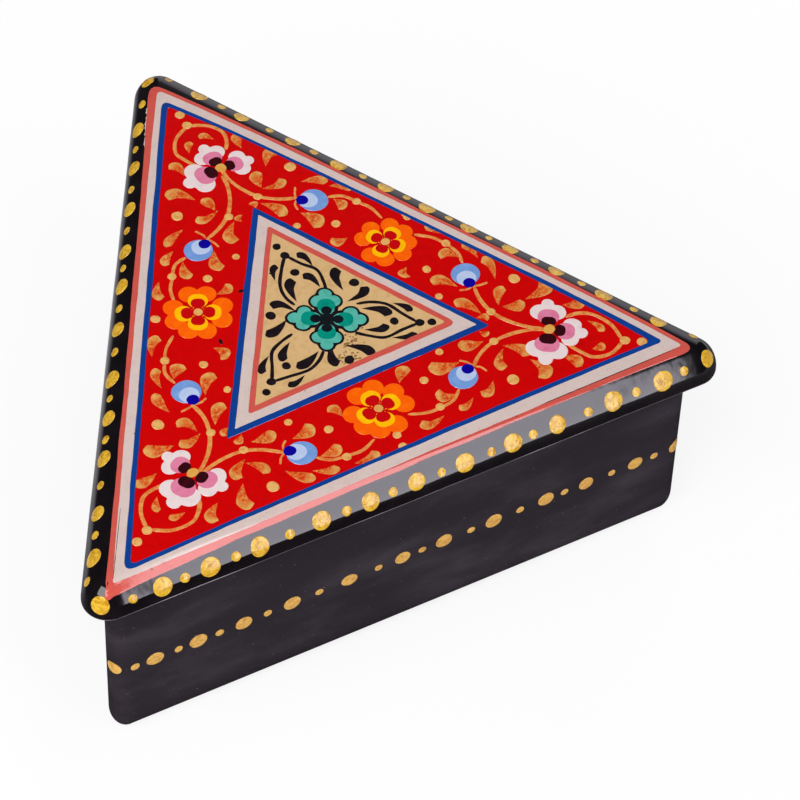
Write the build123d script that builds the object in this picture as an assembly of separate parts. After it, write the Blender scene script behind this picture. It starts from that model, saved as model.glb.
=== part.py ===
from build123d import *
import math
import os

# Triangular papier-mache keepsake box with a lift-off lid.
#
# Frame: millimetres, +Z up. The origin is the centre of the triangle, on the surface that the
# box stands on. The front wall faces -Y and the opposite corner points along +Y.
# Every outline is an equilateral triangle about the Z axis, so one number places its sides:
# its apothem, the distance from the Z axis to each side.

# Driving dimensions
LID_SIDE = 110.0             # one side of the lid, measured between its sharp corners
LID_OVERHANG = 3.0           # how far the lid stands out past the walls
LID_THICKNESS = 5.6
LID_CORNER_RADIUS = 4.0
LID_EDGE_LEAN = 3.7          # how far the lid's soft upper edge leans in, less than its corner radius
LID_EDGE_RISE = 5.0          # height of that soft edge
LID_ARRIS = 0.5              # small rounding under the lid's edge
BOX_HEIGHT = 33.6            # from the table to the rim that the lid rests on
WALL_THICKNESS = 4.0
WALL_CORNER_RADIUS = 2.5     # upright outer corners
INNER_CORNER_RADIUS = 1.5    # upright inner corners of the walls and of the locating strips
RIM_ROUNDING = 0.6           # worn edges on top of the walls
BASE_THICKNESS = 5.0
BASE_EDGE_LEAN = 2.3         # how far the base's soft lower edge leans in, less than the corners' radius
BASE_EDGE_RISE = 4.0         # height of that soft edge
LIP_DEPTH = 5.5              # how far the lid's locating strips reach down into the box
LIP_THICKNESS = 3.0
LIP_CLEARANCE = 0.4          # gap between a locating strip and the wall it slides past
LIP_LEAD_IN = 0.8            # bevel that guides the lid into place

# Apothems that follow from them
lid_apothem = LID_SIDE / (2 * math.sqrt(3))
wall_apothem = lid_apothem - LID_OVERHANG
cavity_apothem = wall_apothem - WALL_THICKNESS
lip_apothem = cavity_apothem - LIP_CLEARANCE
lip_inner_apothem = lip_apothem - LIP_THICKNESS

# Directions from +X, in degrees. The front faces -Y, and the corners lie half way between the
# sides' normals.
SIDE_NAMES = ("front", "right", "left")
front_normal = math.degrees(math.atan2(-1, 0))
third_turn = 360 / len(SIDE_NAMES)
side_normals = {name: front_normal + third_turn * place for place, name in enumerate(SIDE_NAMES)}
corner_directions = [normal + third_turn / 2 for normal in side_normals.values()]


def ray(distance, direction):
    """Point in the XY plane at a distance from the Z axis, along a direction in degrees."""
    angle = math.radians(direction)
    return (distance * math.cos(angle), distance * math.sin(angle))


def triangle(apothem, corner_radius=0.0):
    """Flat equilateral triangle about the origin, with round corners if they have a radius."""
    corners = [ray(2 * apothem, direction) for direction in corner_directions]
    face = make_face(Polyline(*corners, close=True))
    if corner_radius > 0:
        face = fillet(face.vertices(), corner_radius)
    return face


def edge_profile(width, thickness, lean, rise, arris):
    """Half section of a slab's rim in the XZ plane, from x = 0 to its outer face at x = width.

    The outer face is upright for a short land, then leans in along a quarter ellipse to the flat
    top. An arris rounds the corner below the land.
    """
    land_top = thickness - rise
    crown = width - lean
    outline = [
        EllipticalCenterArc((crown, land_top), lean, rise, 0, arc_size=90),
        Polyline((crown, thickness), (0, thickness), (0, 0), (width - arris, 0)),
        Line((width, arris), (width, land_top)),
    ]
    if arris > 0:
        outline.append(CenterArc((width - arris, arris), arris, -90, 90))
    return Plane.XZ * make_face(outline)


def soft_edged_slab(apothem, corner_radius, thickness, lean, rise, arris=0.0):
    """Triangular slab whose soft upper edge runs along each side and turns round each corner.

    Each corner is the rim's profile revolved about the corner's own axis, and each side is the
    same profile extruded between two corners.
    """
    core_apothem = apothem - corner_radius
    side_length = 2 * math.sqrt(3) * core_apothem
    profile = edge_profile(corner_radius, thickness, lean, rise, arris)
    side = Pos(0, side_length / 2, 0) * extrude(profile, side_length)
    corner = revolve(profile, Axis.Z, third_turn)
    slab = extrude(triangle(core_apothem), thickness)
    for direction in side_normals.values():
        slab += Rot(0, 0, direction) * Pos(core_apothem, 0, 0) * side
    for direction in corner_directions:
        place = Pos(*ray(2 * core_apothem, direction)) * Rot(0, 0, direction - third_turn / 2)
        slab += place * corner
    return slab


def triangular_ring(outer_apothem, outer_radius, inner_apothem, inner_radius, height):
    """Upright triangular frame that stands on the XY plane."""
    outline = triangle(outer_apothem, outer_radius) - triangle(inner_apothem, inner_radius)
    return extrude(outline, height)


def mitred_sides(ring, apothem):
    """The three sides of a ring, cut apart on the lines from the Z axis through its corners."""
    reach = 3 * apothem
    height = ring.bounding_box().max.Z - ring.bounding_box().min.Z
    sides = {}
    for name, direction in side_normals.items():
        ends = [ray(reach, direction - third_turn / 2), ray(reach, direction + third_turn / 2)]
        wedge = extrude(make_face(Polyline((0, 0), *ends, close=True)), height)
        sides[name] = ring & wedge
    return sides


def make_lid_panel():
    """Top board, with its glossy soft edge uppermost and its flat underside on the wall tops."""
    slab = soft_edged_slab(lid_apothem, LID_CORNER_RADIUS, LID_THICKNESS, LID_EDGE_LEAN, LID_EDGE_RISE,
                           LID_ARRIS)
    return Pos(0, 0, BOX_HEIGHT) * slab


def make_base_panel():
    """Floor of the box, as wide as the walls that stand on it, with its soft edge downwards."""
    slab = soft_edged_slab(wall_apothem, WALL_CORNER_RADIUS, BASE_THICKNESS, BASE_EDGE_LEAN, BASE_EDGE_RISE)
    return Pos(0, 0, BASE_THICKNESS) * mirror(slab, Plane.XY)


def make_walls():
    """Three mitred walls on the base, worn round along their tops."""
    ring = triangular_ring(wall_apothem, WALL_CORNER_RADIUS, cavity_apothem, INNER_CORNER_RADIUS,
                           BOX_HEIGHT - BASE_THICKNESS)
    ring = fillet(ring.edges().group_by(Axis.Z)[-1], RIM_ROUNDING)
    return {name: Pos(0, 0, BASE_THICKNESS) * wall
            for name, wall in mitred_sides(ring, wall_apothem).items()}


def make_locating_strips():
    """Three mitred strips glued under the lid, bevelled where they enter the box."""
    ring = triangular_ring(lip_apothem, INNER_CORNER_RADIUS, lip_inner_apothem, 0, LIP_DEPTH)
    leading_edges = ring.faces().sort_by(Axis.Z)[0].outer_wire().edges()
    ring = chamfer(leading_edges, LIP_LEAD_IN)
    return {name: Pos(0, 0, BOX_HEIGHT - LIP_DEPTH) * strip
            for name, strip in mitred_sides(ring, lip_apothem).items()}


pieces = {"lid_panel": make_lid_panel(), "base_panel": make_base_panel()}
for side_name, wall in make_walls().items():
    pieces[f"{side_name}_wall"] = wall
for side_name, strip in make_locating_strips().items():
    pieces[f"lid_locating_strip_{side_name}"] = strip

os.makedirs("parts", exist_ok=True)
for node, piece in pieces.items():
    export_step(piece, f"parts/{node}.step")
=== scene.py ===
"""Looks of a triangular lacquered papier-mache box with a painted lift-off lid.

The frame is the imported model's: +Z up, the centre of the triangle on the Z axis, the front side
facing -Y. Lengths of the box and its paint are in millimetres, and build_piece turns them into
metres. The stage's lengths are in metres.
"""
import math
import random

import bpy
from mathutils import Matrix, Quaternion, Vector, noise


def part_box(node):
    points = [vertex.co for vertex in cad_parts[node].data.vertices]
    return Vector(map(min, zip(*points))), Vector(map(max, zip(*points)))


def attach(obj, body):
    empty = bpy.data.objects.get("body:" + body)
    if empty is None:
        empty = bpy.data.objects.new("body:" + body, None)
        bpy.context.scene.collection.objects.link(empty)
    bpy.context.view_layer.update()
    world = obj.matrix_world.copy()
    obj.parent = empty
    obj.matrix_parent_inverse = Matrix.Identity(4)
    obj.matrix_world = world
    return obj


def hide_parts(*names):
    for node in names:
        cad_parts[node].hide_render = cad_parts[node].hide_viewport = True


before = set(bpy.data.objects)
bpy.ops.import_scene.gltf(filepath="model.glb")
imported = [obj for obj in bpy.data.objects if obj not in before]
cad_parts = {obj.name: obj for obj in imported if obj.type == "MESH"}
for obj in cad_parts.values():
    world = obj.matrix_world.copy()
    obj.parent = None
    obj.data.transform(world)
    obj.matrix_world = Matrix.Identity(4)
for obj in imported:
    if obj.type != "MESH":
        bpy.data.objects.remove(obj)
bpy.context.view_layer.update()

MM = 0.001

# ---- Sizes, from the frame where it has them
lid_low, lid_high = (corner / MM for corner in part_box("lid_panel"))
wall_low, _ = (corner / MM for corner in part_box("front_wall"))

LID_APOTHEM = -lid_low.y
LID_TOP = lid_high.z
LID_UNDERSIDE = lid_low.z
WALL_APOTHEM = -wall_low.y
LID_CORNER_RADIUS = 4.0
LID_EDGE_LEAN = 3.7          # how far the lid's soft upper edge leans in
LID_EDGE_RISE = 5.0          # height of that edge
LID_ARRIS = 0.5              # rounding under the edge
WALL_CORNER_RADIUS = 2.5

PAINT_DEPTH = 0.28           # room above the board for all the layers of paint
LAYER_STEP = 0.016           # one coat of paint
OVERLAP_STEP = 0.16 * LAYER_STEP             # keeps strokes of one coat from lying in one plane
PAINT_SINK = 0.04            # how far the edge of a coat reaches into the board
BOARD_TOP = LID_TOP - PAINT_DEPTH
EDGE_DROP = LID_EDGE_RISE - PAINT_DEPTH
LID_CORE = LID_APOTHEM - LID_CORNER_RADIUS
WALL_CORE = WALL_APOTHEM - WALL_CORNER_RADIUS
FLAT_OFFSET = LID_CORNER_RADIUS - LID_EDGE_LEAN

SIDE_NORMALS = (-90, 30, 150)                # front, right and left, in degrees from +X
THIRD_TURN = 120

# Paints: the colour of a full coat and the one it thins out to, as displayed, 0-255
CREAM = ((214, 195, 186), (198, 176, 165))
CORAL = ((208, 88, 76), (188, 74, 62))
BORDER_BLUE = ((8, 64, 144), (26, 46, 100))
FIELD_RED = ((206, 0, 0), (194, 0, 1))
GROUND_GOLD = ((216, 179, 124), (202, 162, 106))
BARE_LACQUER = ((58, 30, 26), (34, 20, 20))
VINE_GOLD = ((226, 158, 84), (212, 112, 52))
NODE_GOLD = ((228, 178, 104), (214, 148, 74))
INK = ((22, 16, 20), (38, 31, 34))
SMUDGE = ((142, 102, 58), (108, 74, 40))


def direction(degrees):
    """Unit vector in the plan, counter-clockwise from +X."""
    angle = math.radians(degrees)
    return Vector((math.cos(angle), math.sin(angle)))


def clamped(value):
    return max(0.0, min(1.0, value))


def wobble(x, y, period, seed):
    """Smooth noise from -1 to 1 with features about a period wide."""
    return noise.noise((x / period, y / period, seed * 7.31))


def coat_lift(layer, stroke=0):
    """Height above the board of a coat, or of one stroke of it that may cross others."""
    return layer * LAYER_STEP + OVERLAP_STEP * stroke


def run_lengths(core_apothem, offset):
    """Lengths of one side and one corner of a path that runs an offset outside a triangle."""
    return 2 * math.sqrt(3) * core_apothem, math.radians(THIRD_TURN) * offset


def round_pairs(row):
    """Neighbours in a closed row."""
    return zip(row, row[1:] + row[:1])


def steps_between(before, after):
    """Each pair of neighbours in a closed row, with the same pair in the next row."""
    return zip(round_pairs(before), round_pairs(after))


# ---- Surfaces that paint lies on. Each turns plan or path coordinates and a lift into a point.
def distance_outside(core_apothem, x, y):
    """Distance from a plan point to the triangle of that apothem, 0 inside it."""
    half_side = math.sqrt(3) * core_apothem
    point = Vector((x, y))
    if all(point.dot(direction(normal)) <= core_apothem for normal in SIDE_NORMALS):
        return 0.0
    gaps = []
    for normal in SIDE_NORMALS:
        tangent = direction(normal + 90)
        along = max(-half_side, min(half_side, point.dot(tangent)))
        gaps.append((point - direction(normal) * core_apothem - tangent * along).length)
    return min(gaps)


def on_lid_top(x, y, lift):
    """Point above the lid's top, which falls away along a quarter ellipse near its edge."""
    out = clamped((distance_outside(LID_CORE, x, y) - FLAT_OFFSET) / LID_EDGE_LEAN)
    return Vector((x, y, BOARD_TOP - EDGE_DROP * (1 - math.sqrt(1 - out * out)) + lift))


def contour_frame(core_apothem, offset, distance):
    """Core point and outward normal at a distance along a rounded triangle.

    The path runs an offset outside the core triangle, counter-clockwise from the middle of the
    front side.
    """
    side_length, corner_length = run_lengths(core_apothem, offset)
    side, along = divmod(distance + side_length / 2, side_length + corner_length)
    normal_angle = SIDE_NORMALS[0] + side * THIRD_TURN
    swing = max(0.0, along - side_length) / offset
    along = min(along, side_length) - side_length / 2
    core = direction(normal_angle) * core_apothem + direction(normal_angle + 90) * along
    return core, direction(normal_angle + math.degrees(swing))


RIM_DOT_ANGLE = math.radians(38)   # where a row along the rim sits on the quarter ellipse
RIM_DOT_OFFSET = FLAT_OFFSET + LID_EDGE_LEAN * math.sin(RIM_DOT_ANGLE)
WALL_DOT_HEIGHT = 16.3


def on_lid_rim(distance, down, lift):
    """Point on the lid's soft edge, a distance along the row of dots and some way down from it."""
    pace = math.hypot(LID_EDGE_LEAN * math.cos(RIM_DOT_ANGLE), EDGE_DROP * math.sin(RIM_DOT_ANGLE))
    angle = RIM_DOT_ANGLE + down / pace
    core, outward = contour_frame(LID_CORE, RIM_DOT_OFFSET, distance)
    slope = Vector((math.sin(angle) / LID_EDGE_LEAN, math.cos(angle) / EDGE_DROP)).normalized()
    plan = core + outward * (FLAT_OFFSET + LID_EDGE_LEAN * math.sin(angle) + lift * slope.x)
    height = BOARD_TOP - EDGE_DROP * (1 - math.cos(angle)) + lift * slope.y
    return Vector((*plan, height))


def on_wall(distance, down, lift):
    """Point on the outside of the walls, a distance along the row of dots and some way down from it."""
    core, outward = contour_frame(WALL_CORE, WALL_CORNER_RADIUS, distance)
    plan = core + outward * (WALL_CORNER_RADIUS + lift)
    return Vector((*plan, WALL_DOT_HEIGHT - down))


# ---- Meshes, gathered patch by patch
RING_SHARES = (0.0, 0.06, 0.28, 0.5, 0.72, 0.94, 1.0)
STROKE_STEPS = (-1.0, -0.72, -0.3, 0.3, 0.72, 1.0)
CREASE = math.radians(25)                    # edges bent more than this are shaded sharp


class Draft:
    """Points, faces and UVs of one piece, made of closed patches on a surface."""

    def __init__(self, surface=on_lid_top):
        self.surface = surface
        self.points = []
        self.faces = []
        self.uvs = []

    def add_point(self, point, uv=(0.0, 0.0)):
        self.points.append(point)
        self.uvs.append(uv)
        return len(self.points) - 1

    def add_spot(self, plan, lift, uv=None):
        """Point above a plan point of the surface, whose UVs are the plan's own if none are given."""
        return self.add_point(self.surface(plan.x, plan.y, lift), uv or plan)

    def join(self, before, after):
        """Quads between two closed rows of as many points each."""
        self.faces += [(a, c, d, b) for (a, b), (c, d) in steps_between(before, after)]

    def add_disc(self, outline, insets, lift, crown=0.0, uv=None):
        """Flat or domed patch inside an outline, whose edge sinks into the surface.

        Insets are the shares of the outline's size at which rings run, from the outermost in.
        A patch with a crown is higher in its middle by that much. uv turns a plan point into UVs.
        """
        centre = sum((Vector(point) for point in outline), Vector((0, 0))) / len(outline)
        rings = []
        for share in (1.0, *insets):
            height = -PAINT_SINK if share == 1.0 else lift + crown * (1 - share * share)
            plans = [centre + (Vector(point) - centre) * share for point in outline]
            rings.append([self.add_spot(plan, height, uv and uv(plan)) for plan in plans])
        for outer, inner in zip(rings, rings[1:]):
            self.faces += [(a, b, d, c) for (a, b), (c, d) in steps_between(outer, inner)]
        if crown:
            top = self.add_spot(centre, lift + crown)
            self.faces += [(first, second, top) for first, second in round_pairs(rings[-1])]
        else:
            self.faces.append(tuple(rings[-1]))
        self.faces.append(tuple(reversed(rings[0])))

    def add_ring(self, outer, inner, lift):
        """Band between two outlines of as many points each, both of whose edges sink in."""
        rows = []
        for share in RING_SHARES:
            height = -PAINT_SINK if share in (0.0, 1.0) else lift
            rows.append([self.add_spot(Vector(start).lerp(Vector(end), share), height)
                         for start, end in zip(outer, inner)])
        for before, after in round_pairs(list(zip(*rows))):
            self.join(before, after)

    def add_stroke(self, spine, half_width, lift):
        """Brush stroke along a spine of plan points, pointed at both ends, with U along it and V across.

        half_width gives half its width at a share of its length.
        """
        last = len(spine) - 1
        first_tip = self.add_spot(spine[0], -PAINT_SINK, (0.0, 0.5))
        columns = []
        for place in range(1, last):
            share = place / last
            tangent = (spine[place + 1] - spine[place - 1]).normalized()
            sideways = Vector((-tangent.y, tangent.x)) * half_width(share)
            columns.append([self.add_spot(spine[place] + sideways * step,
                                          -PAINT_SINK if abs(step) == 1.0 else lift,
                                          (share, 0.5 + 0.5 * step)) for step in STROKE_STEPS])
        last_tip = self.add_spot(spine[last], -PAINT_SINK, (1.0, 0.5))
        for before, after in zip(columns, columns[1:]):
            self.join(before, after)
        for (a, b), (c, d) in steps_between(columns[0], columns[-1]):
            self.faces += [(first_tip, a, b), (last_tip, d, c)]


def build_piece(name, draft, *materials, body="lid", slot="painted_lid"):
    """Object of a draft, riding on a body."""
    mesh = bpy.data.meshes.new(name)
    mesh.from_pydata([point * MM for point in draft.points], [], draft.faces)
    layer = mesh.uv_layers.new(name="UVMap")
    for loop in mesh.loops:
        layer.data[loop.index].uv = draft.uvs[loop.vertex_index]
    for material in materials:
        mesh.materials.append(material)
    mesh.shade_smooth()
    mesh.set_sharp_from_angle(angle=CREASE)
    mesh.validate()
    piece = bpy.data.objects.new(name, mesh)
    bpy.context.scene.collection.objects.link(piece)
    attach(piece, body)
    return piece


# ---- Outlines and curves in the plan
def spokes(count):
    """Evenly spread directions all round."""
    return [direction(360 * place / count) for place in range(count)]


def blob(centre, radius_x, radius_y, roughness, seed, count=26):
    """Round outline with a hand-made unevenness."""
    outline = []
    for spoke in spokes(count):
        reach = 1 + roughness * wobble(spoke.x, spoke.y, 1.5, seed)
        outline.append((centre[0] + radius_x * reach * spoke.x, centre[1] + radius_y * reach * spoke.y))
    return outline


def lobed_outline(circles, middle, count=44):
    """Outline of several overlapping circles, as seen from a point inside them all.

    Each circle is (x, y, radius).
    """
    outline = []
    for spoke in spokes(count):
        reach = 0.0
        for x, y, radius in circles:
            offset = Vector((x - middle[0], y - middle[1]))
            along = offset.dot(spoke)
            inside = radius * radius - (offset.length_squared - along * along)
            if inside > 0:
                reach = max(reach, along + math.sqrt(inside))
        outline.append((middle[0] + reach * spoke.x, middle[1] + reach * spoke.y))
    return outline


def smooth_path(points, steps=9):
    """Points of a Catmull-Rom curve through the given ones."""
    ends = [Vector(points[0]) * 2 - Vector(points[1]), *map(Vector, points),
            Vector(points[-1]) * 2 - Vector(points[-2])]
    path = []
    for a, b, c, d in zip(ends, ends[1:], ends[2:], ends[3:]):
        for step in range(steps):
            t = step / steps
            path.append(0.5 * (2 * b + (c - a) * t + (2 * a - 5 * b + 4 * c - d) * t ** 2
                               + (3 * b - a - 3 * c + d) * t ** 3))
    path.append(Vector(points[-1]))
    return path


def leaf_axes(head, tail, bulge):
    """Vector along a leaf and unit vector towards its full side."""
    reach = tail - head
    return reach, Vector((-reach.y, reach.x)).normalized() * bulge


def leaf_outline(head, tail, width, bulge, hook):
    """Comma leaf from one turn of the brush: a full outer side and a hollow inner one.

    bulge is 1 where the full side lies left of the way from head to tail and -1 where it lies right.
    hook, from 0 to 1, is how hollow the inner side is.
    """
    reach, sideways = leaf_axes(head, tail, bulge)
    sideways *= width

    def spot(along, across):
        return head + reach * along + sideways * across
    barb = spot(0.12 + 0.06 * hook, -0.4 - 0.08 * hook)
    outer = smooth_path([barb, spot(-0.04, -0.16), spot(0.0, 0.22), spot(0.24, 0.5), spot(0.62, 0.36),
                         spot(1.0, 0.0)], 5)
    inner = smooth_path([spot(1.0, 0.0), spot(0.7, -0.16 + 0.12 * hook), spot(0.42, -0.4 + 0.3 * hook),
                         barb], 5)
    return outer[:-1] + inner[:-1]


def leaf_uv(head, tail, width, bulge):
    """UVs of a leaf: U along it from its head and V across it, 1 on its full side."""
    reach, sideways = leaf_axes(head, tail, bulge)

    def uv(plan):
        offset = plan - head
        return (offset.dot(reach) / reach.length_squared, 0.5 + offset.dot(sideways) / width)
    return uv


def placed(outline, origin, along):
    """Outline drawn about (0, 0) with its second axis outwards, moved to an origin and turned."""
    outwards = direction(along)
    sideways = Vector((outwards.y, -outwards.x))
    return [Vector(origin) + sideways * x + outwards * y for x, y in outline]


# How soon a stroke tapers, its mean width and how far it swells and thins, as shares of its full
# width, how often it does so, and how far apart in the noise two strokes are
FINE_BRUSH = (12, 1, 0.22, 6, 3.7)
TORN_EDGE = (6, 0.75, 0.6, 22, 3.1)


def brush_width(brush, width, seed):
    """Half width of a stroke, as a function of the share of its length."""
    taper, mean, swell, waves, stride = brush

    def half_width(share):
        end = min(1.0, taper * share, taper * (1 - share))
        unevenness = mean + swell * noise.noise((waves * share, seed * stride, 0.0))
        return 0.5 * width * math.sqrt(end) * unevenness
    return half_width


SLIP_END = 46                # how far out along a corner's axis a half's slip has died away
SLIP_FADE = 9                # over what length it does


class Half:
    """One of the six halves of the ornament: a mirror image or not, turned to its corner."""

    def __init__(self, turn, slip, mirrored, seed):
        self.axes = (direction(turn), direction(turn + 90))
        self.slip = Vector(slip)
        self.mirrored = mirrored
        self.side = -1 if mirrored else 1
        self.hand = random.Random(seed)

    def turned(self, point, loose=0.0):
        """Where a point of the drawing falls, and a little beside it for a loose hand."""
        spot = Vector((self.side * point[0] + self.hand.gauss(0, loose),
                       point[1] + self.hand.gauss(0, loose)))
        return self.axes[0] * spot.x + self.axes[1] * spot.y

    def place(self, point, loose=0.0):
        """As turned, with the half's own slip, which dies away towards the corner's tip."""
        slipped = self.slip * clamped((SLIP_END - point[1]) / SLIP_FADE)
        return self.turned(point, loose) + self.axes[0] * slipped.x + self.axes[1] * slipped.y


# How far each half was painted from where its mirror image and the other corners would put it
HALF_SLIPS = (
    ((0.5, 1.3), (0.4, 0.0)),                # uppermost corner: the half to the right of it, then the left
    ((-0.4, -0.4), (-0.6, -0.3)),            # left corner
    ((-1.8, -0.1), (-1.6, -0.5)),            # right corner
)
HALVES = [Half(THIRD_TURN * place, slip, mirrored, 11 + 2 * place + mirrored)
          for place, slips in enumerate(HALF_SLIPS) for mirrored, slip in zip((False, True), slips)]
UNMIRRORED = HALVES[::2]


# ---- Materials
def linear(colour):
    """Shader colour of a displayed one."""
    channels = [channel / 255 for channel in colour]
    return (*[c / 12.92 if c <= 0.04045 else ((c + 0.055) / 1.055) ** 2.4 for c in channels], 1.0)


class Nodes:
    """The nodes of a material or a world, with shorthands for those used here."""

    def __init__(self, owner):
        owner.use_nodes = True
        self.tree = owner.node_tree
        self.tree.nodes.clear()

    def node(self, kind, inputs=None, **settings):
        """Outputs of a new node. An input is given by name or number, as a value or an output."""
        made = self.tree.nodes.new("ShaderNode" + kind)
        for key, value in settings.items():
            setattr(made, key, value)
        for key, value in (inputs or {}).items():
            if isinstance(value, bpy.types.NodeSocket):
                self.tree.links.new(value, made.inputs[key])
            else:
                made.inputs[key].default_value = value
        return made.outputs

    def math(self, operation, a, b):
        return self.node("Math", {0: a, 1: b}, operation=operation)[0]

    def product(self, total, *factors):
        for factor in factors:
            total = self.math("MULTIPLY", total, factor)
        return total

    def ramp(self, value, low, high):
        """0 below low, 1 above high, and smooth between them; falling where low is the higher."""
        return self.node("MapRange", {"Value": value, "From Min": low, "From Max": high},
                         interpolation_type="SMOOTHSTEP")[0]

    def mix(self, share, first, second):
        """Colour between two displayed colours or colour outputs."""
        colours = [c if isinstance(c, bpy.types.NodeSocket) else linear(c) for c in (first, second)]
        return self.node("Mix", {0: share, 6: colours[0], 7: colours[1]}, data_type="RGBA")[2]


# Clear varnish over a ground that has no gloss of its own
VARNISH = {"Specular IOR Level": 0.0, "Coat Weight": 1.0, "Coat Roughness": 0.06}
BARE = {}                    # no varnish


class Shader(Nodes):
    """One material, with its textures and its finish."""

    def __init__(self, name):
        self.material = bpy.data.materials.new(name)
        super().__init__(self.material)
        self.place = self.node("TexCoord")["Object"]

    def noise(self, size, detail=3.0, roughness=0.5, stretch=(1, 1, 1), distortion=0.0):
        """Noise with features of a size in millimetres, drawn out along an axis by stretch."""
        scale = [1 / factor for factor in stretch]
        place = self.node("Mapping", {"Vector": self.place, "Scale": scale})[0]
        return self.node("TexNoise", {
            "Vector": place, "Scale": 1 / (size * MM), "Detail": detail, "Roughness": roughness,
            "Distortion": distortion})[0]

    def patches(self, low, high, size, *texture, **settings):
        """Noise cut to 0 below low and to 1 above high."""
        return self.ramp(self.noise(size, *texture, **settings), low, high)

    def bump(self, height, depth, under=None):
        """Normal for a height from 0 to 1 that is a depth in millimetres."""
        inputs = {"Height": height, "Distance": depth * MM, "Strength": 1.0}
        if under is not None:
            inputs["Normal"] = under
        return self.node("Bump", inputs)[0]

    def waves(self, depth=0.01):
        """Normal for the slow unevenness of hand-rubbed lacquer."""
        return self.bump(self.noise(2.6, 2.0), depth, self.bump(self.noise(14, 1.0), depth * 5))

    def finish(self, surface):
        self.node("OutputMaterial", {"Surface": surface})
        return self.material

    def principled(self, colour, normal, roughness, constants):
        """Finishes the material with a Principled shader, whose other sockets are plain numbers."""
        inputs = {"Base Color": colour, "Normal": normal, "Roughness": roughness, **constants}
        if "Coat Weight" in constants:
            inputs["Coat Normal"] = normal
        return self.finish(self.node("BsdfPrincipled", inputs)[0])

    def varnished(self, colour, depth=0.01):
        return self.principled(colour, self.waves(depth), 0.5, VARNISH)


def varnished_paint(name, paint, grain=1.1, spread=(0.42, 0.78)):
    """Opaque paint under clear varnish, which shows a thinner colour where the brush left less."""
    shader = Shader(name)
    return shader.varnished(shader.mix(shader.patches(*spread, grain, 4.0, 0.6), *paint))


def line_paint(name, paint):
    """Varnished paint of a ruled line, uneven in streaks and specked with dust."""
    shader = Shader(name)
    cover = shader.patches(0.36, 0.72, 1.6, 5.0, 0.65, distortion=0.6)
    shade = shader.mix(shader.product(cover, shader.patches(0.3, 0.8, 0.25, 2.0)), *paint)
    dust = shader.patches(0.76, 0.79, 0.8, 2.0)
    return shader.varnished(shader.mix(dust, shade, [channel * 0.45 for channel in paint[1]]))


def leaf_gold(name):
    """Gold paint laid with one turn of the brush: solid at its head, streaked over the red beyond."""
    shader = Shader(name)
    along, across, _ = shader.node("SeparateXYZ", {0: shader.node("TexCoord")["UV"]})
    thinness = shader.product(shader.ramp(along, 0.08, 0.36), shader.ramp(across, 1.05, 0.72),
                              shader.patches(0.34, 0.56, 0.6, 5.0, 0.75, distortion=0.8))
    solid = shader.mix(shader.patches(0.38, 0.66, 0.9, 4.0), (224, 170, 94), (212, 134, 60))
    bared = shader.mix(shader.patches(0.35, 0.65, 0.45, 4.0), (200, 42, 6), (222, 100, 32))
    return shader.varnished(shader.mix(thinness, solid, bared))


def gold_paint(name, bright, dull, constants):
    """Thick gold dots, mottled and scratched."""
    shader = Shader(name)
    shade = shader.mix(shader.patches(0.4, 0.68, 0.9, 5.0, 0.7, distortion=1.0), bright, dull)
    normal = shader.bump(shader.noise(1.1, 3.0, 0.6, distortion=1.2), 0.05, shader.waves())
    return shader.principled(shade, normal, 0.45, constants)


def gloss_black(name):
    """Polished black lacquer of the lid's edge."""
    shader = Shader(name)
    return shader.varnished(shader.mix(shader.patches(0.4, 0.7, 6, 3.0), (13, 9, 12), (22, 16, 20)), 0.008)


def satin_black(name, darkest=(46, 40, 46), lightest=(66, 59, 66)):
    """Brushed black finish of the box, with the paper's lumps under it and rubbed patches."""
    shader = Shader(name)
    shade = shader.mix(shader.patches(0.42, 0.8, 9, 5.0, 0.6, (2.5, 2.5, 1)), darkest, lightest)
    shade = shader.mix(shader.patches(0.71, 0.77, 0.45, 2.0), shade, (124, 116, 122))     # grit
    lumps = shader.bump(shader.noise(7, 3.0), 0.22)
    grain = shader.bump(shader.noise(0.7, 2.0), 0.015, lumps)
    brushed = shader.bump(shader.noise(0.5, 3.0, 0.6, (7, 7, 1)), 0.02, grain)
    return shader.principled(shade, brushed, 0.5, {"Specular IOR Level": 0.2})


# ---- The lid's board
SIDE_STEPS = 84
CORNER_STEPS = 16
EDGE_STEPS = 16
ARRIS_STEPS = 4
RUB_DEPTH = 0.1              # how far in the edge is rubbed at most
RUB_PERIOD = 9               # along the edge
RUB_TWIST = 0.05             # how fast the rubbing changes down the edge
RUB_FADE = 2                 # over what width it sets in beyond the flat top


def quarter_turn(steps):
    return [math.radians(90 * step / steps) for step in range(steps + 1)]


def lid_edge_rows():
    """Offset from the core triangle and height of each row, from the flat top down to the underside."""
    edge = [(FLAT_OFFSET + LID_EDGE_LEAN * math.sin(angle), BOARD_TOP - EDGE_DROP * (1 - math.cos(angle)))
            for angle in quarter_turn(EDGE_STEPS)]
    arris = [(LID_CORNER_RADIUS - LID_ARRIS * (1 - math.cos(angle)),
              LID_UNDERSIDE + LID_ARRIS * (1 - math.sin(angle))) for angle in quarter_turn(ARRIS_STEPS)]
    return edge + arris


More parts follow.
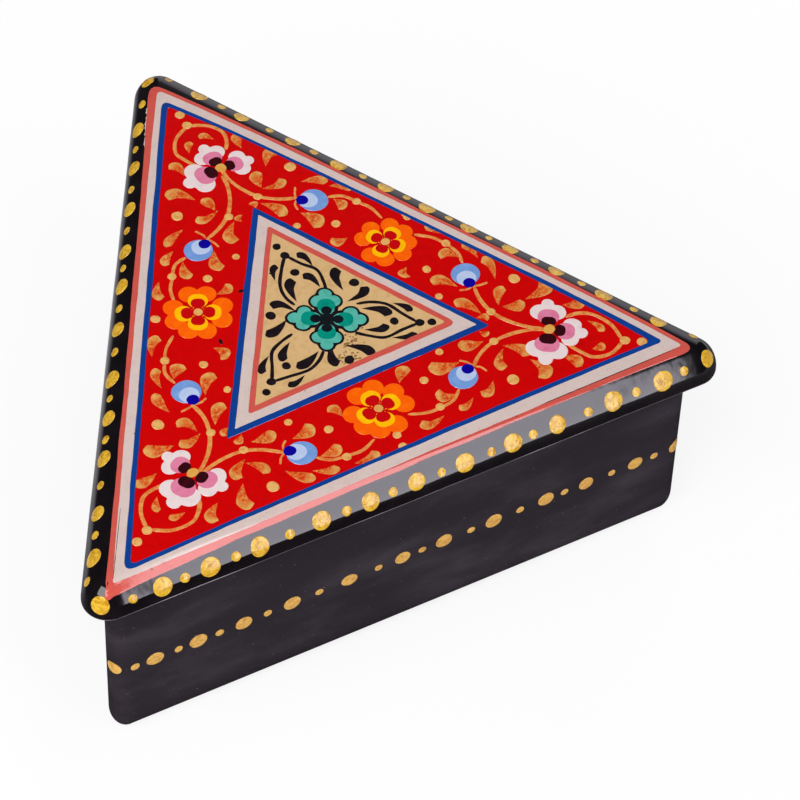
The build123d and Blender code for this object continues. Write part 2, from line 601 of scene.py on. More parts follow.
def make_lid_board(rim_material, arris_highlight_material, underside_material):
    """Pressed paper board, replaced in a finer mesh whose edge has a hand-rubbed unevenness."""
    side_length, corner_length = run_lengths(LID_CORE, LID_CORNER_RADIUS)
    distances = []
    for side in range(3):
        start = side * (side_length + corner_length) - side_length / 2
        distances += [start + side_length * step / SIDE_STEPS for step in range(SIDE_STEPS)]
        distances += [start + side_length + corner_length * step / CORNER_STEPS
                      for step in range(CORNER_STEPS)]
    draft = Draft()
    rings = []
    for offset, height in lid_edge_rows():
        ring = []
        for distance in distances:
            core, outward = contour_frame(LID_CORE, LID_CORNER_RADIUS, distance)
            plan = core + outward * offset
            give = RUB_DEPTH * (0.5 + 0.5 * wobble(plan.x, plan.y, RUB_PERIOD, height * RUB_TWIST))
            give *= min(1.0, (offset - FLAT_OFFSET) / RUB_FADE)
            plan = core + outward * (offset - give)
            ring.append(draft.add_point(Vector((*plan, height))))
        rings.append(ring)
    for upper, lower in zip(rings, rings[1:]):
        draft.join(upper, lower)
    top_face = len(draft.faces)
    draft.faces += [tuple(rings[0]), tuple(reversed(rings[-1]))]
    board = build_piece("lid_board", draft, rim_material, arris_highlight_material, underside_material)
    # The arris rows take the second material: a pale grey painted highlight along the lid's lower edge,
    # standing in for the light that edge would catch.
    for polygon in board.data.polygons[top_face - ARRIS_STEPS * len(distances):top_face]:
        polygon.material_index = 1
    board.data.polygons[-1].material_index = 2
    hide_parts("lid_panel")


# ---- Painted borders: a stack of triangles, each with its top, right and left corners in the plan
STRAIGHT = (0.0, 0.0, 0.0)

# Lines and grounds: name, layer, paint, roundings of the uppermost, left and right corners, those
# corners, and bows of the left, front and back-right sides
OUTER_LINES = (
    ("border_coral_outer", 5, CORAL, (3.0, 0.9, 2.4),
     ((-1.2, 56.5), (-49.9, -30.5), (48.5, -28.6)), (-0.2, -0.45, 0.65)),
    ("border_cream_outer", 6, CREAM, (1.4, 0.5, 0.8),
     ((-0.8, 54.5), (-48.0, -29.1), (46.9, -27.3)), (0.2, 0.1, 0.75)),
    ("border_blue_outer", 7, BORDER_BLUE, (2.0, 2.2, 1.0),
     ((-1.1, 52.2), (-45.8, -28.1), (44.7, -25.3)), (0.0, -0.3, 0.65)),
)
RED_FIELD = ("field_red", 2, FIELD_RED, (0.8, 1.2, 1.4),
             ((-0.9, 50.4), (-44.2, -27.2), (43.0, -24.4)), (0.1, -0.25, 0.9))
INNER_LINES = (
    ("border_blue_inner", 5, BORDER_BLUE, (0.4, 0.4, 0.6),
     ((1.7, 25.9), (-21.9, -12.9), (22.9, -11.0)), STRAIGHT),
    ("border_cream_inner", 6, CREAM, (0.15, 0.15, 0.15),
     ((1.7, 24.2), (-20.1, -11.8), (21.3, -10.0)), STRAIGHT),
    ("border_coral_inner", 7, CORAL, (0.7, 0.9, 1.6),
     ((2.0, 21.5), (-17.1, -10.2), (18.8, -8.4)), STRAIGHT),
)
GOLD_CENTRE = ("centre_gold", 3, GROUND_GOLD, (0.15, 0.15, 0.6),
               ((1.9, 19.7), (-15.4, -9.1), (17.2, -7.4)), STRAIGHT)
UNDERCOAT_RUNS = (
    # start, end and width of cream undercoat left showing beside the coral line
    ((-3.05, 52.8), (-8.05, 43.6), 0.8),
    ((47.2, -26.9), (46.4, -25.5), 0.7),
)
GAP_RUNS = (
    # start, end and width of lacquer left bare between the coral and cream lines
    ((45.6, -27.3), (22.0, -27.75), 0.22),
    ((-47.6, -28.6), (-41.0, -17.2), 0.16),
)
LINE_STEPS = 60              # along each side of a line, and along a run
BEND_STEPS = 5               # round each corner of a line
WAVERING = ((0.1, 6), (0.05, 1.3))   # how far the hand strays and over what length: slow, trembling
TUCK = 0.99                  # how far a line reaches in under the next one


def border_outline(corners, bows, roundings, seed):
    """Triangle with rounded corners and sides drawn by a hand that wavers.

    A rounding is how far from its corner the bend begins. A side's bow is how far its middle stands
    out from the straight way between its corners.
    """
    outline = []
    for place, start in enumerate(corners):
        start = Vector(start)
        end = Vector(corners[(place + 1) % 3])
        beyond = (Vector(corners[(place + 2) % 3]) - end).normalized()
        run = (end - start).normalized()
        outwards = Vector((run.y, -run.x))
        first = start + run * roundings[place]
        rounding = roundings[(place + 1) % 3]
        last = end - run * rounding
        for step in range(LINE_STEPS):
            share = step / LINE_STEPS
            point = first.lerp(last, share)
            sway = sum(reach * wobble(point.x, point.y, period, seed) for reach, period in WAVERING)
            sway *= min(1.0, 8 * share, 8 * (1 - share))
            sway += bows[place] * (1 - (2 * share - 1) ** 4)
            outline.append(point + outwards * sway)
        for step in range(BEND_STEPS):
            t = step / BEND_STEPS
            outline.append(last * (1 - t) ** 2 + end * 2 * t * (1 - t) + (end + beyond * rounding) * t * t)
    return outline


def scaled(outline, share):
    """Outline drawn in or let out about the lid's middle."""
    return [Vector(point) * share for point in outline]


def make_lines_and_ground(lines, ground):
    """Nested lines, each laid over the edge of the one outside it, and the ground inside them all."""
    outlines = [border_outline(corners, bows, roundings, layer)
                for _, layer, _, roundings, corners, bows in (*lines, ground)]
    inner_edges = [scaled(outline, TUCK) for outline in outlines[1:-1]] + [outlines[-1]]
    for (name, layer, paint, *_), outer, inner in zip(lines, outlines, inner_edges):
        draft = Draft()
        draft.add_ring(outer, inner, coat_lift(layer))
        build_piece(name, draft, line_paint(name, paint))
    name, layer, paint, *_ = ground
    draft = Draft()
    draft.add_disc(scaled(outlines[-1], 2 - TUCK), (0.996, 0.99), coat_lift(layer))
    build_piece(name, draft, varnished_paint(name, paint))


def make_runs(name, runs, layer, paint, seed):
    """Ragged runs of paint along the border, in one piece."""
    draft = Draft()
    for order, (start, end, width) in enumerate(runs):
        spine = [Vector(start).lerp(Vector(end), step / LINE_STEPS) for step in range(LINE_STEPS + 1)]
        draft.add_stroke(spine, brush_width(TORN_EDGE, width, seed + order), coat_lift(layer))
    build_piece(name, draft, paint)


def make_border_slips():
    """Places where the border's lines miss each other: undercoat beside them, bare lacquer between."""
    make_runs("border_undercoat", UNDERCOAT_RUNS, 1, varnished_paint("undercoat", CREAM), 16)
    make_runs("border_gaps", GAP_RUNS, 6.5, varnished_paint("bare_lacquer", BARE_LACQUER), 11)


# ---- Ornament of the red field, drawn once for the right half of the uppermost corner
LEAF_LAYER = 3
LEAF_WIDTHS = (1.0, 1.25)    # as shares of the width drawn
LEAF_HOOKS = (0.2, 1.0)
VINE_LAYER = 4
FLOWER_LAYER = 5
NODE_CROWN = 0.02            # how far the vines' nodes stand out

LEAVES = (
    # head, tail, width, side that bulges
    ((1.15, 42.5), (2.5, 40.0), 1.4, 1),
    ((6.1, 39.7), (4.9, 36.2), 2.1, -1),
    ((9.2, 34.2), (5.9, 30.9), 2.7, -1),
    ((4.7, 30.9), (3.8, 27.3), 2.1, -1),
    ((8.0, 27.0), (4.3, 27.2), 2.0, 1),
    ((14.0, 24.7), (10.0, 26.2), 1.8, -1),
    ((16.2, 21.4), (13.5, 23.5), 1.6, -1),
    ((4.8, 20.9), (2.9, 24.5), 2.4, -1),
    ((1.5, 25.5), (1.3, 23.6), 1.3, 1),
    ((9.1, 16.6), (7.4, 20.7), 2.5, -1),
    ((14.0, 17.6), (12.9, 20.8), 2.2, -1),
    ((19.7, 15.7), (17.8, 18.9), 1.9, -1),
    ((8.6, 12.9), (11.4, 12.7), 2.1, -1),
)
FIELD_DOTS = (
    # x, y, radius
    (9.9, 29.2, 1.0), (2.8, 25.9, 0.75), (16.0, 18.6, 0.75), (5.4, 18.0, 0.65), (10.9, 15.9, 0.75),
    (21.6, 12.5, 0.75),
)
CORNER_DOTS = ((0.0, 48.0, 0.85), (0.0, 45.4, 0.85))
VINES = (
    # width, points
    (0.75, ((0.0, 45.3), (2.7, 43.6), (4.1, 41.0), (3.7, 38.8), (2.6, 36.9))),
    (0.75, ((0.2, 34.0), (0.3, 31.6), (1.3, 28.6), (3.0, 26.0), (5.4, 24.2), (8.4, 23.0))),
    (0.65, ((12.2, 21.3), (14.4, 20.5), (16.0, 18.5), (17.2, 16.4), (17.7, 13.6))),
    (0.42, ((7.9, 23.2), (8.1, 24.2), (8.8, 25.3))),
    (0.42, ((7.9, 23.0), (7.2, 22.2), (6.9, 20.9))),
)
BUD_CENTRE = (10.1, 21.7)
BUD_COATS = (
    # name, paint, shift from the bud's centre, radius
    ("bud_blue", ((112, 152, 210), (130, 168, 220)), (0.0, 0.0), 2.3),
    ("bud_pale", ((186, 202, 230), (170, 192, 226)), (-0.75, 0.35), 1.6),
    ("bud_dark", ((10, 2, 150), (4, 0, 122)), (-1.6, 0.7), 1.0),
)


def make_leaves():
    """Comma leaves, in one piece."""
    draft = Draft()
    for half in HALVES:
        for order, (head, tail, width, bulge) in enumerate(LEAVES):
            width *= half.hand.uniform(*LEAF_WIDTHS)
            ends = (half.place(head, loose=0.25), half.place(tail, loose=0.25))
            bulge *= half.side
            outline = leaf_outline(*ends, width, bulge, half.hand.uniform(*LEAF_HOOKS))
            lift = coat_lift(LEAF_LAYER, order % 4)
            draft.add_disc(outline, (0.95,), lift, uv=leaf_uv(*ends, width, bulge))
    build_piece("gold_leaves", draft, leaf_gold("gold_leaves"))


def add_nodes(draft, half, dots, loose, seed):
    """Round nodes where stems bend."""
    for order, (x, y, radius) in enumerate(dots):
        outline = blob(half.place((x, y), loose), radius, radius, 0.16, seed + order)
        draft.add_disc(outline, (0.85, 0.4), coat_lift(FLOWER_LAYER), NODE_CROWN)


def make_vines():
    """Stems, loops and sepals, and the nodes along them."""
    stems = Draft()
    nodes = Draft()
    for place, half in enumerate(HALVES):
        for order, (width, points) in enumerate(VINES):
            path = smooth_path([half.place(point, loose=0.06) for point in points])
            lift = coat_lift(VINE_LAYER, order + 3 * half.mirrored)
            stems.add_stroke(path, brush_width(FINE_BRUSH, width, 5 * place + order), lift)
        add_nodes(nodes, half, FIELD_DOTS, 0.12, 10 * place)
    for place, half in enumerate(UNMIRRORED):
        add_nodes(nodes, half, CORNER_DOTS, 0.08, 70 + 10 * place)
    build_piece("vine_stems", stems, varnished_paint("vine_gold", VINE_GOLD, 0.8, (0.35, 0.7)))
    build_piece("vine_nodes", nodes, varnished_paint("node_gold", NODE_GOLD, 0.8, (0.4, 0.7)))


def make_buds():
    """Round blue buds on the stems, each a pale and a dark dot inside a blue one."""
    drafts = [Draft() for _ in BUD_COATS]
    for place, half in enumerate(HALVES):
        for coat, (_, _, shift, radius) in enumerate(BUD_COATS):
            centre = half.place((BUD_CENTRE[0] + shift[0], BUD_CENTRE[1] + shift[1]), loose=0.06)
            outline = blob(centre, radius, radius * 0.96, 0.09, 30 + place)
            drafts[coat].add_disc(outline, (0.94,), coat_lift(FLOWER_LAYER + 1 + coat))
    for draft, (name, paint, *_) in zip(drafts, BUD_COATS):
        build_piece(name, draft, varnished_paint(name, paint, FLOWER_GRAIN))


# ---- Flowers of petals and an eye
FLOWER_GRAIN = 1.4

# Flowers of a kind: centre, then heading and size of each petal
PANSIES = (
    ((0.8, 35.2), ((97, 0.95), (-6, 0.93), (187, 1.13))),
    ((-29.1, -16.3), ((113, 0.95), (304, 1.0), (217, 1.18))),
    ((30.4, -15.6), ((63, 1.0), (-35, 1.0), (-124, 1.17))),
)
BLOSSOMS = (
    ((0.6, -17.7), ((8, 1.06), (95, 1.06), (190, 1.06), (266, 1.06))),
    ((16.5, 10.6), ((31, 0.94), (123, 0.94), (222, 0.94), (312, 0.94))),
    ((-15.0, 10.7), ((66, 1.04), (161, 1.04), (243, 1.04), (333, 1.04))),
)
TEAL_FLOWER = (((1.6, 0.9), ((66, 0.98), (150, 0.98), (243, 0.98), (333, 0.98))),)

# Coats of their petals: name, paint, circles about the flower's centre with the second axis outwards
PANSY_COATS = (
    ("pansy_white", ((232, 216, 212), (226, 204, 202)),
     ((0.0, 5.0, 1.0), (-1.35, 3.35, 1.45), (1.35, 3.35, 1.45), (0.0, 1.7, 1.0))),
    ("pansy_rose", ((222, 128, 158), (212, 108, 144)), ((-0.25, 2.5, 1.42), (0.25, 2.5, 1.42))),
    ("pansy_maroon", ((48, 4, 12), (62, 8, 18)),
     ((-0.28, 1.6, 0.86), (0.0, 1.58, 0.88), (0.28, 1.6, 0.86))),
)
BLOSSOM_COATS = (
    ("blossom_orange", ((252, 96, 2), (255, 116, 0)),
     ((-1.3, 3.45, 1.55), (1.3, 3.45, 1.55), (0.0, 1.9, 1.1), (0.0, 0.9, 0.6))),
    ("blossom_yellow", ((255, 186, 2), (255, 200, 8)),
     ((-0.2, 2.15, 1.3), (0.2, 2.15, 1.3), (0.0, 1.0, 0.7))),
    ("blossom_red", ((198, 4, 8), (188, 2, 10)),
     ((-0.2, 1.65, 0.88), (0.2, 1.65, 0.88), (0.0, 0.7, 0.6))),
)
TEAL_COATS = (
    ("teal_outline", ((22, 16, 20), (38, 34, 36)),
     ((0.0, 5.1, 1.45), (-1.25, 3.6, 1.5), (1.25, 3.6, 1.5), (0.0, 2.2, 1.9), (0.0, 1.2, 1.4))),
    ("teal_light", ((88, 182, 164), (66, 164, 142)),
     ((0.0, 5.1, 1.05), (-1.25, 3.6, 1.12), (1.25, 3.6, 1.12), (0.0, 2.1, 1.3))),
    ("teal_deep", ((0, 144, 122), (0, 120, 104)), ((-0.15, 2.75, 1.3), (0.15, 2.75, 1.3))),
    ("teal_heart", ((14, 24, 30), (8, 14, 20)), ((0.0, 1.75, 0.85), (0.0, 0.8, 0.55))),
)


def add_petal(draft, circles, origin, heading, size, lift, seed):
    """One petal of overlapping circles, drawn about its flower's centre."""
    middle = (0.0, sum(y for _, y, _ in circles) / len(circles))
    outline = []
    for x, y in lobed_outline(circles, middle):
        outline.append((size * x * (1 + 0.05 * wobble(x, y, 3, seed)),
                        size * y * (1 + 0.04 * wobble(y, x, 3, seed))))
    draft.add_disc(placed(outline, origin, heading), (0.96,), lift)


def make_petals(flowers, coats, layer, seed):
    """Flowers of one kind, coat by coat, from the lowest up."""
    for coat, (name, paint, circles) in enumerate(coats):
        draft = Draft()
        for place, (origin, petals) in enumerate(flowers):
            for order, (heading, size) in enumerate(petals):
                lift = coat_lift(layer + coat, order)
                add_petal(draft, circles, origin, heading, size, lift, seed + 10 * place + order)
        build_piece(name, draft, varnished_paint(name, paint, FLOWER_GRAIN))


def make_eyes(name, paint, flowers, layer, radii, roughness, seed):
    """Round eyes of flowers, laid over their petals."""
    draft = Draft()
    for place, (origin, _) in enumerate(flowers):
        draft.add_disc(blob(origin, *radii, roughness, seed + place), (0.9,), coat_lift(layer))
    build_piece(name, draft, varnished_paint(name, paint, FLOWER_GRAIN))


def make_pansies():
    """Three-petalled white and pink flowers, one in each corner."""
    make_petals(PANSIES, PANSY_COATS, FLOWER_LAYER, 0)
    make_eyes("pansy_eye", ((222, 168, 78), (214, 146, 60)), PANSIES, FLOWER_LAYER + len(PANSY_COATS),
              (0.95, 0.8), 0.3, 20)


def make_blossoms():
    """Four-petalled orange flowers, one half way along each side."""
    make_petals(BLOSSOMS, BLOSSOM_COATS, FLOWER_LAYER, 50)
    make_eyes("blossom_eye", ((228, 176, 98), (214, 150, 70)), BLOSSOMS,
              FLOWER_LAYER + len(BLOSSOM_COATS), (0.78, 0.75), 0.12, 60)


# ---- Centre: black scrolls on gold round the teal flower
CENTRE = Vector((1.2, 0.7))
SMUDGE_LAYER = 3.6
INK_LAYER = 4
INK_HOOKS = (0.5, 1.0)
TEAL_LAYER = 5

INK_COMMAS = (
    # head, tail, width, side that bulges, in the frame of a corner about CENTRE
    ((-1.3, 9.7), (-2.1, 5.4), 2.1, -1),
    ((1.5, 9.9), (2.3, 6.2), 1.8, 1),
    ((-2.1, 13.4), (-3.0, 10.2), 1.5, -1),
    ((2.6, 13.9), (3.4, 10.3), 1.6, 1),
    ((5.6, 8.6), (4.8, 4.0), 2.1, -1),
    ((8.8, 2.8), (4.6, 2.0), 2.0, 1),
)
INK_DOTS = ((0.0, 16.3, 0.72), (0.4, 14.3, 0.78), (0.3, 10.6, 0.74), (7.3, 4.9, 0.88))
INK_SCROLLS = (
    ((0.4, 14.2), (-1.2, 11.9), (-2.9, 9.4), (-3.2, 7.0), (-2.6, 4.6)),
    ((0.4, 14.2), (1.9, 11.9), (3.4, 9.6), (3.4, 7.0), (2.8, 4.6)),
)
SCROLL_WIDTH = 0.72
BESIDE = 4.0                 # marks with a greater x stand beside the ogee
INK_SLIPS = (
    # for the uppermost, left and right corner: how far the ogee and the marks beside it have strayed
    ((0.0, 0.0), (0.1, 0.0)),
    ((0.2, -0.1), (1.0, 0.7)),
    ((0.2, 1.0), (-0.7, 0.6)),
)
SPECKS = ((-7.4, 11.6, 0.5, 0.3), (-14.5, 4.1, 0.3, 0.62), (-9.4, 4.1, 0.22, 0.45),
          (-1.9, 12.7, 0.28, 0.2))
SMUDGES = ((3.0, -4.3), (0.3, -7.0))         # where dirt has stuck to the gold
GRAINS = 36                  # of dirt in each smudge
GRAIN_SPREAD = (1.0, 0.6)
GRAIN_WIDTHS = (0.1, 0.4)
GRAIN_HEIGHTS = (0.08, 0.26)
GRAIN_STEP = 0.0001          # keeps them from lying in one plane


def ink_spot(half, slips, point, loose=0.05):
    """Where a point of the drawing about CENTRE falls."""
    return CENTRE + Vector(slips[point[0] > BESIDE]) + half.turned(point, loose)


def make_centre_ink():
    """Ogees, commas and dots, turned three times, and the specks that the painter dropped."""
    draft = Draft()
    for place, (half, slips) in enumerate(zip(UNMIRRORED, INK_SLIPS)):
        for order, points in enumerate(INK_SCROLLS):
            path = smooth_path([ink_spot(half, slips, point) for point in points])
            half_width = brush_width(FINE_BRUSH, SCROLL_WIDTH, 20 + 3 * place + order)
            draft.add_stroke(path, half_width, coat_lift(INK_LAYER, order))
        for order, (head, tail, width, bulge) in enumerate(INK_COMMAS):
            ends = (ink_spot(half, slips, head, 0.12), ink_spot(half, slips, tail, 0.12))
            outline = leaf_outline(*ends, width, bulge, half.hand.uniform(*INK_HOOKS))
            draft.add_disc(outline, (0.95,), coat_lift(INK_LAYER, 2 + order % 2))
        for order, (x, y, radius) in enumerate(INK_DOTS):
            outline = blob(ink_spot(half, slips, (x, y)), radius, radius, 0.2, 80 + 5 * place + order)
            draft.add_disc(outline, (0.9,), coat_lift(INK_LAYER, 4))
    for order, (x, y, radius_x, radius_y) in enumerate(SPECKS):
        draft.add_disc(blob((x, y), radius_x, radius_y, 0.3, 95 + order), (0.8,), coat_lift(INK_LAYER, 5))
    build_piece("centre_ink", draft, varnished_paint("centre_ink", INK, 1.0))


def make_smudges():
    """Grime on the gold ground, as scattered brown specks."""
    hand = random.Random(41)
    draft = Draft()
    for x, y in SMUDGES:
        for order in range(GRAINS):
            spot = (hand.gauss(x, GRAIN_SPREAD[0]), hand.gauss(y, GRAIN_SPREAD[1]))
            outline = blob(spot, hand.uniform(*GRAIN_WIDTHS), hand.uniform(*GRAIN_HEIGHTS), 0.45, order, 12)
            draft.add_disc(outline, (0.7,), coat_lift(SMUDGE_LAYER) + GRAIN_STEP * order)
    build_piece("centre_smudges", draft, varnished_paint("smudge", SMUDGE))


def make_teal_flower():
    """Four-petalled flower at the centre, outlined in black."""
    make_petals(TEAL_FLOWER, TEAL_COATS, TEAL_LAYER, 90)


# ---- Gold dots round the lid and the walls
# Where the large dots of a row fall along one side, from its middle
FRONT_RIM_DOTS = (-41, -33.5, -25.5, -15.5, -7.5, 0, 8, 16, 23.5, 33, 41.5)
RIGHT_RIM_DOTS = (-41.5, -32, -23.5, -15.5, -8, -0.5, 7, 15.5, 24, 33.5, 41.5)
LEFT_RIM_DOTS = (-39, -31, -22.5, -14, -7, 1.5, 11, 18.5, 26, 36, 44)
WALL_DOTS = (-41.5, -34.5, -27, -19, -9.5, -0.5, 6.5, 15, 24, 31, 39.5)

# For each side: its large dots and their size, how far down the row has strayed at the side's start
# and end, and the dot on the corner after it: how far along, how far down, and how much to squeeze
# its outline so that it stays round there
RIM_ROW = (
    (FRONT_RIM_DOTS, 2.95, 1.55, 0.65, (-1.2, 0.3, 0.95)),
    (RIGHT_RIM_DOTS, 2.8, -1.6, -1.2, (1.6, -0.8, 1.2)),
    (LEFT_RIM_DOTS, 2.8, 0.1, -0.25, (0.7, 1.5, 0.75)),
)
WALL_ROW = (
    (WALL_DOTS, 2.8, 0.2, -0.1, (-1.3, 0.0, 1.0)),
    (WALL_DOTS, 2.8, 0.0, 0.1, (0.2, 0.1, 1.0)),
    (WALL_DOTS, 2.8, -0.1, 0.0, (-0.1, 0.2, 1.0)),
)
SMALL_DOT = 0.5              # a small dot's size, as a share of a large one's
DOT_INSETS = (0.93, 0.75, 0.4)
DOT_LIFT = 0.03
DOT_CROWN = 0.04
DOT_STRAY = 0.1              # spread of the large dots up and down
HALF_WAY = (0.45, 0.55)      # where small dots fall between large ones
DOT_SIZES = (0.92, 1.08)
DOT_WIDTHS = (0.96, 1.04)


def dot_row(core_apothem, offset, row, seed):
    """Outlines of a row of dots round a triangle: large ones at their places, small ones between."""
    hand = random.Random(seed)
    side_length, corner_length = run_lengths(core_apothem, offset)
    side_and_corner = side_length + corner_length
    dots = []
    for side, (places, size, down_at_start, down_at_end, (along, down, squeeze)) in enumerate(row):
        for place in places:
            share = place / side_length + 0.5
            strayed = down_at_start + share * (down_at_end - down_at_start) + hand.gauss(0, DOT_STRAY)
            dots.append((Vector((side * side_and_corner + place, strayed)), size, 1.0))
        dots.append((Vector(((side + 0.5) * side_and_corner + along, down)), size, squeeze))
    outlines = []
    for place, ((centre, size, squeeze), (following, _, _)) in enumerate(round_pairs(dots)):
        following = following.copy()
        if following.x < centre.x:
            following.x += 3 * side_and_corner
        between = centre.lerp(following, hand.uniform(*HALF_WAY))
        for spot, across, share in ((centre, squeeze, 1.0), (between, 1.0, SMALL_DOT)):
            radius = share * size / 2 * hand.uniform(*DOT_SIZES)
            outlines.append(blob(spot, radius * across * hand.uniform(*DOT_WIDTHS), radius, 0.1,
                                 seed + place + 2 * share))
    return outlines


def dots_draft(surface, *row):
    """Domed dots on a surface, in the places that dot_row gives."""
    draft = Draft(surface)
    for outline in dot_row(*row):
        draft.add_disc(outline, DOT_INSETS, DOT_LIFT, DOT_CROWN)
    return draft


def make_all_dots():
    """Rows of gold dots, varnished on the lid's edge and bare on the walls."""
    rim = dots_draft(on_lid_rim, LID_CORE, RIM_DOT_OFFSET, RIM_ROW, 200)
    build_piece("lid_rim_dots", rim, gold_paint("rim_gold", (234, 188, 58), (182, 126, 26), VARNISH))
    walls = dots_draft(on_wall, WALL_CORE, WALL_CORNER_RADIUS, WALL_ROW, 300)
    build_piece("wall_dots", walls, gold_paint("wall_gold", (238, 186, 88), (200, 142, 56), BARE),
                body="box", slot="black_lacquer")


def dress_cad_nodes():
    """Finishes for the walls, base and strips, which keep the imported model's own shapes."""
    outside = satin_black("satin_black")
    inside = satin_black("strip_black")
    for name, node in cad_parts.items():
        for material_slot in node.material_slots:
            material_slot.material = inside if name.startswith("lid_") else outside


# ---- Stage: floor, world, softbox and camera. Lengths are in metres, and the pairs are limits
# between which something sets in or, where the first is the higher, dies away.
WHITE = (1, 1, 1, 1)

TABLE_SIZE = 6.0
TABLE_AHEAD = 0.18           # the table's edge, that far in front of the box
TABLE_TOP = -0.0002          # just clear of the box's underside
TABLE_TONES = ((246, 246, 246), (250, 250, 250))
FLOOR_IN_LACQUER = (64, 62, 66)
FLOOR_BEHIND_IN_LACQUER = (214, 212, 216)
WHITE_SHARE = 0.82           # how nearly white the camera sees the floor by the box
WHITENING = (-0.4, 0.19)     # away from the box
BEHIND = (-0.02, 0.06)
CLOSE = (0.17, 0.05)
TO_THE_RIGHT = (0.0, 0.05)
FAR = (0.05, 0.4)

# The world's lights, by the direction they are seen in: a long strip from overhead to below the
# table's edge, narrower overhead, and a white card upright behind the box to its right
ROOM_LIGHT = 0.05
STRIP_LIGHT = 6.2
STRIP_NARROWING = 0.014      # at each side, overhead
STRIP_NARROWS = (-0.2, 0.1)
STRIP_LEFT = (0.228, 0.238)
STRIP_RIGHT = (0.375, 0.363)
STRIP_BACK = (0.35, 0.27)
STRIP_FOOT = (-0.26, -0.22)
CARD_LIGHT = 1.3
CARD_TOWARDS = (0.616, 0.788, 0.0)
CARD_SIDES = (0.955, 0.982)
CARD_TOP = (0.76, 0.5)
CARD_FOOT = (-0.3, 0.3)
LIGHT_TINT = (0.93, 0.9, 1.0, 1.0)           # of the strip, the card and the room


def make_floor():
    """Table that the camera sees nearly white, with the object's shadow, and plain white farther off.

    The lacquer mirrors it dark in front, lighter close behind the box and white far to the right. It
    is clear from below.
    """
    bpy.ops.mesh.primitive_plane_add(size=TABLE_SIZE, location=(0, TABLE_SIZE / 2 - TABLE_AHEAD, TABLE_TOP))
    floor = bpy.context.object
    floor.name = "studio_floor"
    shader = Shader("studio_floor")
    spot = shader.node("NewGeometry")["Position"]
    x, y, _ = shader.node("SeparateXYZ", {0: spot})
    away = shader.node("VectorMath", {0: spot}, operation="LENGTH")["Value"]
    paths = shader.node("LightPath")
    close_behind = shader.product(shader.ramp(y, *BEHIND), shader.ramp(away, *CLOSE))
    tone_in_lacquer = shader.mix(close_behind, FLOOR_IN_LACQUER, FLOOR_BEHIND_IN_LACQUER)
    tone = shader.mix(shader.noise(60, 3.0), *TABLE_TONES)
    tone = shader.mix(paths["Is Glossy Ray"], tone, tone_in_lacquer)
    lit = shader.node("BsdfDiffuse", {"Color": tone})[0]
    white = shader.node("Emission", {"Color": WHITE, "Strength": 1.0})[0]
    faded = shader.math("MAXIMUM", shader.ramp(away, *WHITENING), WHITE_SHARE)
    to_camera = shader.product(paths["Is Camera Ray"], faded)
    far_right = shader.product(shader.ramp(x, *TO_THE_RIGHT), shader.ramp(away, *FAR))
    to_lacquer = shader.product(paths["Is Glossy Ray"], far_right)
    seen_white = shader.math("ADD", to_camera, to_lacquer)
    surface = shader.node("MixShader", {0: seen_white, 1: lit, 2: white})[0]
    from_below = shader.node("NewGeometry")["Backfacing"]
    clear = shader.node("BsdfTransparent")[0]
    surface = shader.node("MixShader", {0: from_below, 1: surface, 2: clear})[0]
    floor.data.materials.append(shader.finish(surface))


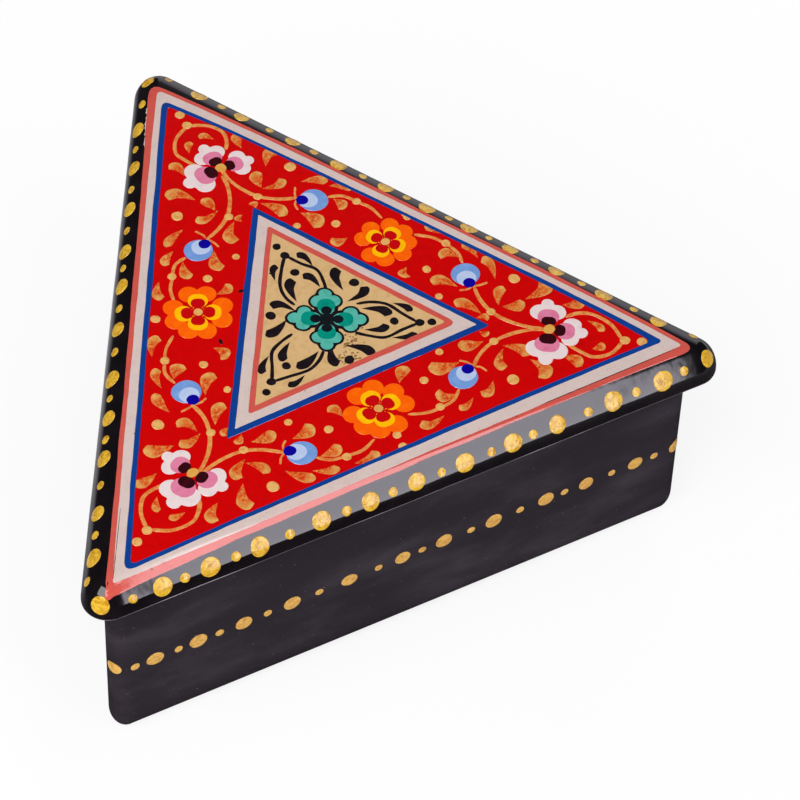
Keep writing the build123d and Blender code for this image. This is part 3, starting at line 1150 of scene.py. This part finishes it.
def make_world():
    """White to the camera; to the object a dim room, with a strip light and a card.

    The rest stays dim so that the lid's flat top, as the camera sees it, mirrors nothing bright.
    """
    world = bpy.data.worlds.new("studio_world")
    bpy.context.scene.world = world
    nodes = Nodes(world)
    view = nodes.node("TexCoord")["Generated"]
    x, y, z = nodes.node("SeparateXYZ", {0: view})
    narrowing = nodes.product(nodes.ramp(y, *STRIP_NARROWS), STRIP_NARROWING)
    from_left = nodes.math("SUBTRACT", x, narrowing)
    from_right = nodes.math("ADD", x, narrowing)
    strip = nodes.product(nodes.ramp(from_left, *STRIP_LEFT), nodes.ramp(from_right, *STRIP_RIGHT),
                          nodes.ramp(y, *STRIP_BACK), nodes.ramp(z, *STRIP_FOOT), STRIP_LIGHT)
    level = nodes.node("VectorMath", {0: view, 1: (1, 1, 0)}, operation="MULTIPLY")[0]
    level = nodes.node("VectorMath", {0: level}, operation="NORMALIZE")[0]
    facing = nodes.node("VectorMath", {0: level, 1: CARD_TOWARDS}, operation="DOT_PRODUCT")["Value"]
    card = nodes.product(nodes.ramp(facing, *CARD_SIDES), nodes.ramp(z, *CARD_TOP),
                         nodes.ramp(z, *CARD_FOOT), CARD_LIGHT)
    lit = nodes.math("ADD", nodes.math("ADD", strip, card), ROOM_LIGHT)
    seen = nodes.node("LightPath")["Is Camera Ray"]
    strength = nodes.node("Mix", {0: seen, 2: lit, 3: 1.0}, data_type="FLOAT")[0]
    tint = nodes.node("Mix", {0: seen, 6: LIGHT_TINT, 7: WHITE}, data_type="RGBA")[2]
    background = nodes.node("Background", {"Color": tint, "Strength": strength})[0]
    nodes.node("OutputWorld", {"Surface": background})


def stand(name, data, place, aim, roll=0.0):
    """Light or camera at a place, turned to what it aims at."""
    made = bpy.data.objects.new(name, data)
    made.location = place
    made.rotation_mode = "QUATERNION"
    made.rotation_quaternion = (aim - place).to_track_quat("-Z", "Y") @ Quaternion((0, 0, 1), roll)
    bpy.context.scene.collection.objects.link(made)
    return made


SOFTBOX_AT = Vector((-0.52, -0.28, 0.66))
SOFTBOX_SIZE = 0.62
SOFTBOX_RADIANCE = 6.1


def make_softbox():
    """Square softbox high on the left, turned to the object."""
    light = bpy.data.lights.new("softbox", "AREA")
    light.shape = "SQUARE"
    light.size = SOFTBOX_SIZE
    light.energy = SOFTBOX_RADIANCE * math.pi * SOFTBOX_SIZE ** 2
    softbox = stand("softbox", light, SOFTBOX_AT, Vector((0, 0, 0)))
    softbox.visible_camera = False


CAMERA_AT = Vector((-188.39, -356.64, 522.07)) * MM
CAMERA_AIM = Vector((4.08, -17.82, 39.2)) * MM
CAMERA_ROLL = math.radians(2.417)
CAMERA_LENS = 189.9
CAMERA_SENSOR = 36.0


def make_camera():
    """Camera at the photograph's viewing angle."""
    data = bpy.data.cameras.new("camera")
    data.lens = CAMERA_LENS
    data.sensor_width = CAMERA_SENSOR
    data.sensor_fit = "HORIZONTAL"
    bpy.context.scene.camera = stand("camera", data, CAMERA_AT, CAMERA_AIM, CAMERA_ROLL)


# The second finish is pale grey, a painted highlight along the lid's lower arris.
make_lid_board(gloss_black("gloss_black"), satin_black("arris_painted_highlight", (110, 101, 108), (226, 216, 222)),
               satin_black("underside_black", (40, 34, 38), (62, 56, 60)))
make_lines_and_ground(OUTER_LINES, RED_FIELD)
make_lines_and_ground(INNER_LINES, GOLD_CENTRE)
make_border_slips()
make_leaves()
make_vines()
make_pansies()
make_buds()
make_blossoms()
make_smudges()
make_centre_ink()
make_teal_flower()
make_all_dots()
dress_cad_nodes()
make_floor()
make_world()
make_softbox()
make_camera()
bpy.context.scene.view_settings.view_transform = "Standard"
